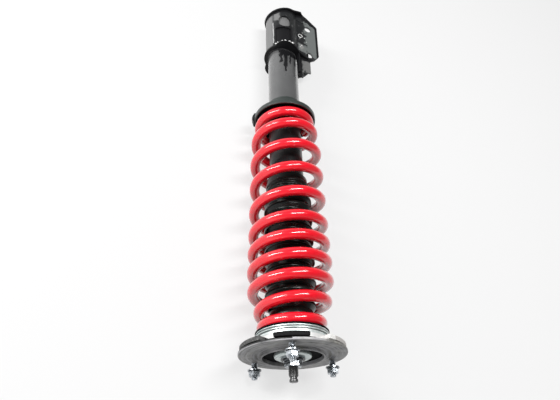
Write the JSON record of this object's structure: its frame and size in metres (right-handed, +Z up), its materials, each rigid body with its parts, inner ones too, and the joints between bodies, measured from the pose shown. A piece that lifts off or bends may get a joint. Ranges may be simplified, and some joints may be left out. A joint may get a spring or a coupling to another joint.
{
  "type": "strut assembly",
  "caption": "Front suspension strut with red coil spring, round top mount with studs, dust boot and knuckle bracket.",
  "frame": {"origin": "centre of the top mount's seating face, on the strut axis", "axes": "+Y along the strut axis from the top mount to the bracket, +X along the bracket's ears, +Z up, along the knuckle bolts"},
  "size_m": [0.133, 0.6313, 0.133],
  "materials": {
    "mount_black": "matt dark grey",
    "housing_grey": "textured cast",
    "zinc": "zinc plated",
    "rubber": "matt",
    "boot_rubber": "glossy",
    "steel": "machined",
    "dark_steel": "black oxide",
    "chrome": "hard chromed",
    "red_coat": "glossy powder coat",
    "black_paint": "semi gloss",
    "seat_grey": "satin primer",
    "plastic": "moulded"
  },
  "bodies": {
    "strut_body": {"strut_tube": "black_paint", "tube_end_cap": "black_paint", "knuckle_bracket": "black_paint", "bracket_inner_plate": "black_paint", "hose_bracket": "black_paint", "lower_spring_seat": "seat_grey", "seat_tab": "black_paint", "lower_spring_pad": "rubber", "coil_spring": "red_coat", "bump_cap": "black_paint", "gland_nut": "steel", "rod_seal": "rubber", "rod_guide": "steel", "guide_bush": "steel", "pressure_tube": "steel", "foot_valve": "steel"},
    "spring_seat": {"upper_spring_seat": "zinc", "upper_spring_pad": "rubber", "lower_bearing_race": "steel", "dust_boot": "boot_rubber"},
    "top_mount": {"mount_plate": "mount_black", "mount_housing": "housing_grey", "housing_shell": "zinc", "mount_rubber": "rubber", "inner_cup": "zinc", "upper_bearing_race": "steel", "bearing_cage": "plastic", "bearing_balls": "steel", "mount_studs": "zinc", "stud_nuts": "zinc", "rod_washer": "zinc", "rod_nut": "zinc", "damper_rod": "chrome", "bump_stop": "rubber", "rebound_stop": "steel", "piston": "steel", "piston_band": "plastic", "rebound_disc": "steel", "compression_disc": "steel", "piston_nut": "steel"}
  },
  "joints": [
    {"name": "damper_stroke", "type": "slide", "parent": "strut_body", "child": "spring_seat", "axis": [0, 1, 0], "range_m": [0, 0.13], "stiffness_N_per_m": 18000, "springref_m": -0.01, "deforming": ["coil_spring", "dust_boot"]},
    {"name": "mount_bearing", "type": "hinge", "parent": "spring_seat", "child": "top_mount", "pos_m": [0, 0, 0], "axis": [0, 1, 0], "continuous": true}
  ]
}
